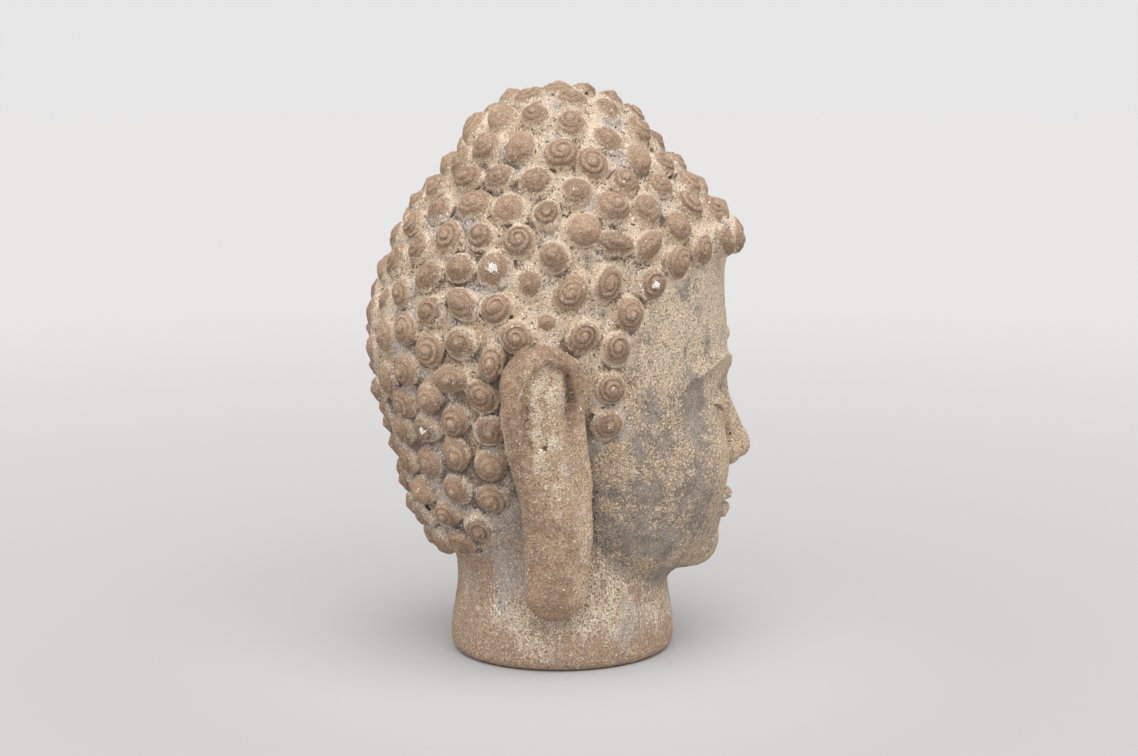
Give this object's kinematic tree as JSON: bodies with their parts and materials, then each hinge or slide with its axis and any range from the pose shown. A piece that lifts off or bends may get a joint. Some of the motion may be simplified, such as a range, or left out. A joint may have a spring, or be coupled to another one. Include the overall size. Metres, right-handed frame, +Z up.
{
  "type": "stone buddha head",
  "caption": "Cast stone head of the Buddha with snail curls, a mound on the crown, closed eyes and long ears, cut flat at the neck to stand on its underside.",
  "frame": {"origin": "middle of the neck's flat underside", "axes": "+Z up to the top curl, the face looks along -Y, the head's own left is +X"},
  "size_m": [0.2566, 0.3163, 0.46],
  "materials": {
    "stone": "matt, sandy, with pale lime wash in the hollows"
  },
  "bodies": {
    "root": {"buddha_head": "stone"}
  },
  "joints": []
}
